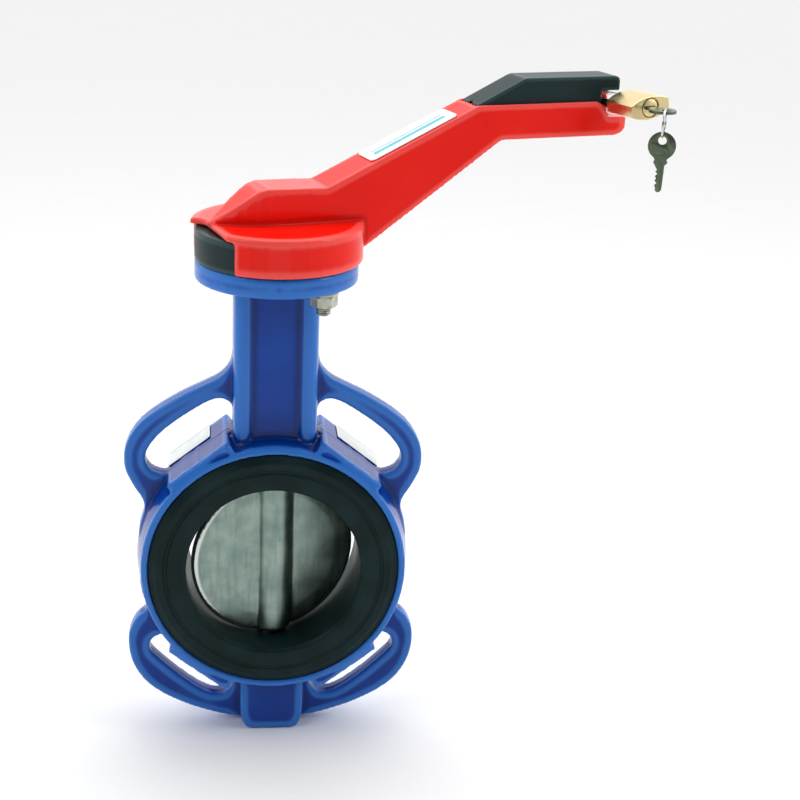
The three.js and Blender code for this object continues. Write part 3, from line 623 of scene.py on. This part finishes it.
def valve_body():
    piece = cast("valve_body", 1.25, 9, (("Y", body_rounds), ("Z", flange_rounds)), 0.16)
    mesh = piece.data
    points = coordinates(mesh) / MM
    normals = normals_of(mesh)
    # the ridge left where the two halves of the mould met
    radius = np.hypot(points[:, 0], points[:, 2])
    outside = (radius > 74) & (points[:, 2] < FLANGE_LOW) & (np.abs(normals[:, 1]) < 0.5)
    ridge = 0.35 * np.exp(-((points[:, 1] / 0.9) ** 2)) * outside
    place_points(mesh, (points + normals * ridge[:, None]) * MM)
    return finished(piece, "valve_body")


def seat_liner():
    half = [
        (50, 20, 0),
        (50, 23, 0),
        (50.3, 25.4, 1.0),
        (52.4, 27, 1.6),
        (60.6, 27, 0.3),
        (61.2, 26.2, 0.3),
        (62.8, 26.2, 0.3),
        (63.4, 27, 0.3),
        (67.2, 27, 1.4),
        (69.2, 25.7, 1.6),
        (71.5, 24.9, 0.8),
        (71.5, 21.7, 0.2),
        (57.7, 21.7, 0.2),
    ]
    other = [(r, -h, fillet) for r, h, fillet in reversed(half)]
    lay_down = Matrix.Rotation(math.pi / 2, 4, "X")
    piece = turned("moulded_seat", rounded(half + other, 4), 192, lay_down)
    hole = turned("hole", [(0, -90), (8.3, -90), (8.3, 90), (0, 90)], 48)
    combined(piece, hole)
    return finished(sharp_shading(piece, 50), "seat_liner")


def body_plate(node, side):
    """A thin plate with a raised border, on the rear half of an upper pad."""
    where = Matrix.Rotation(side * math.radians(38), 4, "Y") @ Matrix.Translation((0, 14, 78.8))
    piece = slab(node + "_sheet", boxed(15, 10, 1, 4), 0, 0.4, where)
    combined(piece, slab("panel", boxed(13.6, 8.6, 0.6, 4), 0.25, 1, where))
    softened_edges(piece, 0.08)
    return finished(sharp_shading(piece), node)


# ---------------------------------------------------------------- disc
def disc():
    """A dished disc with a rounded hub for the stem, both turned, joined with a soft inner corner."""
    lay_down = LEVER @ Matrix.Rotation(math.pi / 2, 4, "X")
    half = [(0, 4.6, 0), (38, 4.2, 6), (45, 3.4, 4), (48.4, 2.8, 1.5), (49.6, 1.5, 0.8)]
    profile = rounded(half + [(r, -h, fillet) for r, h, fillet in reversed(half)], 4)
    plate = turned("disc_plate", profile, 160, lay_down)
    boss = turned(
        "boss", rounded([(0, -47.5, 0), (11, -47.5, 2.2), (11, 47.5, 2.2), (0, 47.5, 0)], 5), 96, LEVER
    )
    combined(plate, boss, "UNION")
    for end in (-1, 1):
        low, high = sorted((end * 47.5, end * 60))
        combined(plate, slab("trim", [(-16, -16), (16, -16), (16, 16), (-16, 16)], low, high, LEVER))
    mesh = evened(plate, 0.75).data
    place_points(mesh, relaxed(coordinates(mesh), neighbours(mesh), 6))
    mesh.shade_smooth()
    points = coordinates(mesh) / MM
    radius = np.sqrt(points[:, 0] ** 2 + points[:, 1] ** 2 + points[:, 2] ** 2)
    store(mesh, "rim", np.clip((radius - 46.4) / 0.8, 0, 1))
    socket = turned("socket", [(0, -60), (8.3, -60), (8.3, 60), (0, 60)], 48, LEVER)
    return finished(combined(plate, socket), "disc")


# ---------------------------------------------------------------- lever
def hub_rounds(radius, points):
    return between(points[:, 2], 179, 200.6) & between(radius, 44.6, 47.8)


def lever_handle():
    return finished(cast("lever_handle", 0.95, 8, (("Z", hub_rounds),), 0.12), "lever_handle")


def plate_rounds(radius, points):
    rim = between(radius, 43.6, 45.4)
    hole = between(radius, 29.5, 30.4)
    return (points[:, 2] < 196.8) & (rim | hole)


def notch_plate():
    return finished(cast("notch_plate", 0.75, 3, (("Z", plate_rounds),), 0.08), "notch_plate")


def trigger():
    piece = cast("trigger", 0.6, 8, (), 0.08)
    # a little more room for the shackle's leg
    room = slab("leg_room", [(191.9, -12), (206, -12), (206, 12), (191.9, 12)], 250, 266.4, LEVER)
    return finished(combined(piece, room), "trigger")


def lever_label():
    slope = math.atan2(ARM_TOP_Z - ARM_FOOT_Z, ARM_TOP_U - ARM_FOOT_U)
    height = ARM_FOOT_Z + (LABEL_U - ARM_FOOT_U) * math.tan(slope) + AIR
    middle = Matrix.Translation((LABEL_U - AIR * math.sin(slope), 0, height))
    where = LEVER @ middle @ Matrix.Rotation(-slope, 4, "Y")
    piece = slab("label_film", boxed(28, 10.6, 3, 8), 0, 0.5, where)
    finished(sharp_shading(softened_edges(piece, 0.12)), "lever_label")
    # two plain coloured bars stand in for the printed name
    for number, (near, far) in enumerate(((-4.6, -0.8), (1.2, 2.4))):
        bar = rounded([(-23, near, 0.6), (23, near, 0.6), (23, far, 0.6), (-23, far, 0.6)], 4)
        ink = slab(f"label_bar_{number}", bar, 0.5, 0.53, where)
        finished(ink, "lever_label", BAND_FINISH, stands_for=False)


def lever_set_screw():
    across = LEVER @ Matrix.Translation((0, 0, 206)) @ Matrix.Rotation(-math.pi / 2, 4, "X")
    profile = rounded([(0, 6.3, 0), (3.7, 6.3, 0.3), (3.7, 13.2, 0.5), (0, 13.2, 0)], 3)
    body = turned("set_screw", profile, 48, across)
    hexagon = [(2.3 * math.cos(k * math.pi / 3), 2.3 * math.sin(k * math.pi / 3)) for k in range(6)]
    combined(body, slab("key_socket", hexagon, 9, 14, across))
    return finished(sharp_shading(body), "lever_set_screw")


def pin(node, low, high, u, z):
    across = LEVER @ Matrix.Translation((u, 0, z)) @ Matrix.Rotation(-math.pi / 2, 4, "X")
    profile = rounded([(0, low, 0), (2, low, 0.4), (2, high, 0.4), (0, high, 0)], 3)
    return finished(sharp_shading(turned(node + "_dowel", profile, 40, across)), node)


# ---------------------------------------------------------------- fasteners of the notch plate
def hexagon_piece(name, low, high, where, hole=0.0):
    """A hexagon with its corners turned off at both ends."""
    far = FLAT_ACROSS / math.sqrt(3)
    outline = [(far * math.cos(k * math.pi / 3), far * math.sin(k * math.pi / 3)) for k in range(6)]
    piece = slab(name, outline, low, high, where)
    flat = FLAT_ACROSS / 2
    drop = (far - flat) * math.tan(math.radians(30)) + 0.4
    face, rim = flat * 0.97, far + 0.4
    cone = [(0, low), (face, low), (rim, low + drop), (rim, high - drop), (face, high), (0, high)]
    combined(piece, turned("cone", cone, 72, where), "INTERSECT")
    if hole:
        bore = rounded([(0, low - 1, 0), (hole, low - 1, 0), (hole, high + 1, 0), (0, high + 1, 0)], 1)
        combined(piece, turned("bore", bore, 48, where))
    return sharp_shading(piece, 25)


def plate_fastening(place, side):
    offset = side * BOLT_CIRCLE_R * math.sqrt(0.5)
    where = Matrix.Translation((offset, -offset, 0))
    head = hexagon_piece("bolt_head_" + place, 184.3, 189.6, where)
    thread = [(0, 154), (3.1, 154)]
    height = 154.4
    while height < 167.5:
        thread += [(3.35, height), (3.98, height + 0.5), (3.98, height + 0.7)]
        height += THREAD_PITCH
    thread += [(3.9, height + 0.6), (3.98, 184.3), (0, 184.3)]
    combined(head, turned("thread", thread, 48, where), "UNION")
    finished(sharp_shading(head, 25), "plate_bolt_" + place)
    nut = hexagon_piece("nut_" + place, 158.9, 165.4, where, 4.3)
    finished(nut, "plate_nut_" + place)
    ring = rounded([(4.3, 165.7, 0.15), (8, 165.7, 0.3), (8, 167.3, 0.3), (4.3, 167.3, 0.15)], 3)
    finished(sharp_shading(turned("washer_" + place, ring, 64, where)), "plate_washer_" + place)


# ---------------------------------------------------------------- coiled wire
def coil_tree():
    """Wire wound about Z: its turns, radius, height and wire radius are inputs, in metres."""
    tree = bpy.data.node_groups.new("coiled_wire", "GeometryNodeTree")
    tree.interface.new_socket("Geometry", in_out="OUTPUT", socket_type="NodeSocketGeometry")
    for label, kind in (
        ("Turns", "NodeSocketFloat"),
        ("Coil Radius", "NodeSocketFloat"),
        ("Height", "NodeSocketFloat"),
        ("Wire Radius", "NodeSocketFloat"),
        ("Steps per Turn", "NodeSocketInt"),
        ("Metal", "NodeSocketMaterial"),
    ):
        tree.interface.new_socket(label, in_out="INPUT", socket_type=kind)
    add = tree.nodes.new
    join = tree.links.new
    entry = add("NodeGroupInput")
    spiral = add("GeometryNodeCurveSpiral")
    join(entry.outputs["Turns"], spiral.inputs["Rotations"])
    join(entry.outputs["Steps per Turn"], spiral.inputs["Resolution"])
    join(entry.outputs["Coil Radius"], spiral.inputs["Start Radius"])
    join(entry.outputs["Coil Radius"], spiral.inputs["End Radius"])
    join(entry.outputs["Height"], spiral.inputs["Height"])
    section = add("GeometryNodeCurvePrimitiveCircle")
    section.inputs["Resolution"].default_value = 12
    join(entry.outputs["Wire Radius"], section.inputs["Radius"])
    wire = add("GeometryNodeCurveToMesh")
    wire.inputs["Fill Caps"].default_value = True
    join(spiral.outputs["Curve"], wire.inputs["Curve"])
    join(section.outputs["Curve"], wire.inputs["Profile Curve"])
    realize = add("GeometryNodeRealizeInstances")
    join(wire.outputs["Mesh"], realize.inputs["Geometry"])
    coat = add("GeometryNodeSetMaterial")
    join(realize.outputs["Geometry"], coat.inputs["Geometry"])
    join(entry.outputs["Metal"], coat.inputs["Material"])
    leave = add("NodeGroupOutput")
    join(coat.outputs["Geometry"], leave.inputs["Geometry"])
    return tree


COIL = coil_tree()


def coiled(name, where, **sizes):
    piece = piece_from(bpy.data.meshes.new(name), name)
    step = piece.modifiers.new("wind", "NODES")
    step.node_group = COIL
    sockets = {item.name: item.identifier for item in COIL.interface.items_tree if item.in_out == "INPUT"}
    for label, value in sizes.items():
        step[sockets[label.replace("_", " ").title().replace("Per", "per")]] = value
    applied(piece)
    place = Matrix.Translation(where.to_translation() * MM) @ where.to_3x3().to_4x4()
    piece.data.transform(place)
    with opened(piece.data) as work:
        bmesh.ops.recalc_face_normals(work, faces=work.faces)
    return sharp_shading(piece, 60)


def trigger_spring():
    where = LEVER @ Matrix.Translation((165, 0, 245.1))
    piece = coiled(
        "coil_spring",
        where,
        turns=6.0,
        coil_radius=3.9 * MM,
        height=17.6 * MM,
        wire_radius=0.55 * MM,
        steps_per_turn=28,
        metal=FINISHES["zinc_steel"],
    )
    finished(piece, "trigger_spring")
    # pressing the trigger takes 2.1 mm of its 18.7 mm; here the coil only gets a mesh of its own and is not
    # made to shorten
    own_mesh(piece)


def key_ring():
    upright = Matrix.Rotation(math.pi / 2, 4, "Y")
    where = HANGING @ Matrix.Translation(RING_CENTRE) @ upright @ Matrix.Translation((0, 0, -0.4))
    piece = coiled(
        "split_ring",
        where,
        turns=1.95,
        coil_radius=RING_R * MM,
        height=0.8 * MM,
        wire_radius=0.4 * MM,
        steps_per_turn=72,
        metal=FINISHES["polished_steel"],
    )
    return finished(piece, "key_ring")


# ---------------------------------------------------------------- padlock and keys
def padlock_shackle():
    """A round bar bent over at the back, with one long leg through the lever's eye."""
    bend = 7
    radius = LEG_SPACING / 2
    path = [(0, y) for y in np.linspace(-27, bend, 8)]
    turns = np.linspace(0, math.pi, 25)[1:-1]
    path += [(radius - radius * math.cos(a), bend + radius * math.sin(a)) for a in turns]
    path += [(LEG_SPACING, y) for y in np.linspace(bend, -23, 7)]
    sides = 24
    points = []
    sizes = [1.9, *[2.5] * (len(path) - 2), 1.9]
    for k, (x, y) in enumerate(path):
        ahead = Vector(path[min(k + 1, len(path) - 1)]) - Vector(path[max(k - 1, 0)])
        across = Vector((ahead.y, -ahead.x)).normalized()
        for s in range(sides):
            angle = 2 * math.pi * s / sides
            out = across * (sizes[k] * math.cos(angle))
            points.append((x + out.x, y + out.y, sizes[k] * math.sin(angle)))
    faces = []
    for k in range(len(path) - 1):
        for s in range(sides):
            n = (s + 1) % sides
            faces.append((k * sides + s, k * sides + n, (k + 1) * sides + n, (k + 1) * sides + s))
    faces.append(tuple(range(sides)))
    faces.append(tuple(range(len(points) - 1, len(points) - 1 - sides, -1)))
    return finished(sharp_shading(drawn("shackle_bar", points, faces, PADLOCK), 50), "padlock_shackle")


def padlock_body():
    middle = LEG_SPACING / 2
    half, rise = 13.2, 3.4
    crown = (half * half + rise * rise) / (2 * rise)
    spread = math.asin(half / crown)
    turns = np.linspace(-spread, spread, 25)
    top = [(middle + crown * math.sin(t), 6.5 - crown + crown * math.cos(t)) for t in turns]
    outline = top + [(x, -z) for x, z in reversed(top)]
    stand = PADLOCK @ Matrix.Rotation(math.pi / 2, 4, "X")
    piece = slab("lock_bar", outline, -LOCK_BACK, -LOCK_FRONT, stand)
    softened_edges(piece, 0.45)
    for x, depth in ((0, 13), (LEG_SPACING, 9)):
        end = -LOCK_BACK + depth
        bore = [(0, 13), (2.8, 13), (2.8, end), (0, end)]
        combined(piece, turned("leg_hole", bore, 40, stand @ Matrix.Translation((x, 0, 0))))
    front = -LOCK_FRONT
    well = [(0, 19.2), (5.5, 19.2), (5.5, front - 0.5), (6, front), (6, 40), (0, 40)]
    combined(piece, turned("plug_well", well, 64, stand @ Matrix.Translation((middle, 0, 0))))
    return finished(sharp_shading(piece, 20), "padlock_body")


def padlock_plug():
    stand = BARREL @ Matrix.Rotation(math.pi / 2, 4, "X")
    front = -LOCK_FRONT
    profile = rounded([(0, 19.5, 0), (5.2, 19.5, 0.3), (5.2, front - 0.1, 0.6), (0, front - 0.1, 0)], 3)
    piece = turned("plug", profile, 64, stand)
    slot = [(-3.4, -1.1), (3.4, -1.1), (3.4, 1.1), (-3.4, 1.1)]
    combined(piece, slab("keyway", slot, 20.5, 40, stand))
    return finished(sharp_shading(piece, 30), "padlock_plug")


def key(node, where):
    """A flat key: round bow with a hole, small pointed shoulders, cut blade with a milled groove."""
    first, last = math.radians(-58), math.radians(238)
    shoulder = -KEY_SHOULDER
    outline = [(KEY_BOW_R * math.cos(a), KEY_BOW_R * math.sin(a)) for a in np.linspace(first, last, 48)]
    outline += [(-3.3, shoulder + 1.6), (-4, shoulder + 0.3), (-3.6, shoulder - 0.4), (-1.4, shoulder - 4)]
    for i in range(4):
        y = shoulder - 5 - i * 2.6
        deep = 1.1 if i % 2 == 0 else 0.7
        outline += [(-2.3, y), (-2.3 + deep, y - 1), (-2.3 + deep, y - 1.5)]
    outline += [(-1.6, 1 - KEY_TIP), (-0.6, -KEY_TIP), (1, 0.2 - KEY_TIP), (2, 1.6 - KEY_TIP)]
    outline += [(2.4, shoulder - 1.4), (4, shoulder + 0.3), (3.3, shoulder + 1.6)]
    piece = slab(node + "_blank", outline, -0.8, 0.8, where)
    bore = [(0, -2), (KEY_HOLE_R, -2), (KEY_HOLE_R, 2), (0, 2)]
    combined(piece, turned("hole", bore, 40, where @ Matrix.Translation((0, KEY_HOLE, 0))))
    softened_edges(piece, 0.14, 40)
    for face in (-1, 1):
        low, high = sorted((face * 0.5, face * 2))
        combined(piece, slab("groove", [(0.5, -9), (1.4, -9), (1.4, -30), (0.5, -30)], low, high, where))
        low, high = sorted((face * 0.7, face * 2))
        line = [(-5, -5.2), (5, -5.2), (5, -4.9), (-5, -4.9)]
        combined(piece, slab("stamped_line", line, low, high, where))
    return finished(sharp_shading(piece, 30), node)


# ---------------------------------------------------------------- build the pieces
valve_body()
seat_liner()
body_plate("body_label_left", -1)
body_plate("body_label_right", 1)
disc()
lever_handle()
notch_plate()
trigger()
lever_label()
lever_set_screw()
pin("trigger_pivot_pin", -11.7, 12.4, 118, 251)
pin("latch_cross_pin", -9.6, 9.6, 138, 256)
plate_fastening("front", 1)
plate_fastening("rear", -1)
trigger_spring()
padlock_shackle()
padlock_body()
padlock_plug()
bow = Matrix.Translation((0, LOCK_FRONT - KEY_OUT - KEY_SHOULDER, 0))
key("key_in_lock", BARREL @ bow @ Matrix.Rotation(math.pi, 4, "Z"))
drop = Vector((0, 0, RING_R - RING_WIRE_R - AIR + KEY_HOLE_R + KEY_HOLE))
key("spare_key", HANGING @ Matrix.Translation(RING_CENTRE - drop) @ Matrix.Rotation(math.pi / 2, 4, "X"))
key_ring()

for node in (
    "upper_bush",
    "middle_bush",
    "lower_bush",
    "stem_seal_lower",
    "stem_seal_upper",
    "stem_wiper",
    "stem_retaining_ring",
    "thrust_disc",
    "stem",
    "latch_bar",
):
    solid = frame["nodes"][node]
    solid.data.materials.clear()
    solid.data.materials.append(FINISHES[SLOT_OF[node]])


# ---------------------------------------------------------------- studio
def studio_floor():
    finish = Finish("studio_floor")
    grain = finish.noise(40, 2)
    base = finish.blend(grain, (0.93, 0.93, 0.93, 1), (0.96, 0.96, 0.96, 1))
    finish.set(base_color=base, roughness=0.6 + grain * 0.1)
    outline = rounded([(-9000, -9000, 400), (9000, -9000, 400), (9000, 16000, 400), (-9000, 16000, 400)], 4)
    floor = slab("studio_floor", outline, -112.3, -110.3)
    floor.data.materials.append(finish.material)


def softbox(name, place, target, width, height, power):
    data = bpy.data.lights.new(name, "AREA")
    data.shape = "RECTANGLE"
    data.size = width
    data.size_y = height
    data.energy = power
    lamp = bpy.data.objects.new(name, data)
    bpy.context.scene.collection.objects.link(lamp)
    lamp.location = place
    lamp.rotation_euler = (Vector(target) - Vector(place)).to_track_quat("-Z", "Y").to_euler()


def studio_light():
    """A white room, dim on the camera's side, with softboxes left and overhead and a strip on the right."""
    world = bpy.data.worlds.new("white_room")
    bpy.context.scene.world = world
    world.use_nodes = True
    nodes = world.node_tree.nodes
    links = world.node_tree.links
    nodes.clear()
    where = nodes.new("ShaderNodeTexCoord")
    split = nodes.new("ShaderNodeSeparateXYZ")
    links.new(where.outputs["Generated"], split.inputs[0])
    ramp = nodes.new("ShaderNodeMapRange")
    ramp.interpolation_type = "SMOOTHSTEP"
    ramp.inputs["From Min"].default_value = -0.7
    ramp.inputs["From Max"].default_value = 0.1
    ramp.inputs["To Min"].default_value = 0.04
    ramp.inputs["To Max"].default_value = 1.0
    links.new(split.outputs["Y"], ramp.inputs["Value"])
    glow = nodes.new("ShaderNodeBackground")
    links.new(ramp.outputs[0], glow.inputs["Color"])
    glow.inputs["Strength"].default_value = 1.3
    output = nodes.new("ShaderNodeOutputWorld")
    links.new(glow.outputs[0], output.inputs["Surface"])
    softbox("left_softbox", (-0.9, -0.7, 0.95), (0, 0, 0.08), 0.5, 0.5, 3.5)
    softbox("right_strip", (1.1, -0.35, 0.7), (0.05, 0, 0.1), 0.2, 0.9, 3.5)
    softbox("overhead", (0.1, 0.3, 1.3), (0.05, 0, 0.1), 0.9, 0.6, 4)


def camera():
    pan, tilt, roll = 0.120, 0.352, 0.044
    ahead = Vector((math.sin(pan) * math.cos(tilt), math.cos(pan) * math.cos(tilt), -math.sin(tilt)))
    right = Vector((math.cos(pan), -math.sin(pan), 0))
    above = right.cross(ahead)
    side = right * math.cos(roll) + above * math.sin(roll)
    top = above * math.cos(roll) - right * math.sin(roll)
    data = bpy.data.cameras.new("studio_camera")
    data.sensor_width = 36
    data.lens = 69.83
    data.clip_start = 0.02
    data.clip_end = 60
    item = bpy.data.objects.new("studio_camera", data)
    turn = Matrix((side, top, -ahead)).transposed().to_4x4()
    item.matrix_world = Matrix.Translation((-0.028422, -0.828524, 0.402116)) @ turn
    bpy.context.scene.collection.objects.link(item)
    bpy.context.scene.camera = item


studio_floor()
studio_light()
camera()
bpy.context.scene.view_settings.view_transform = "Standard"
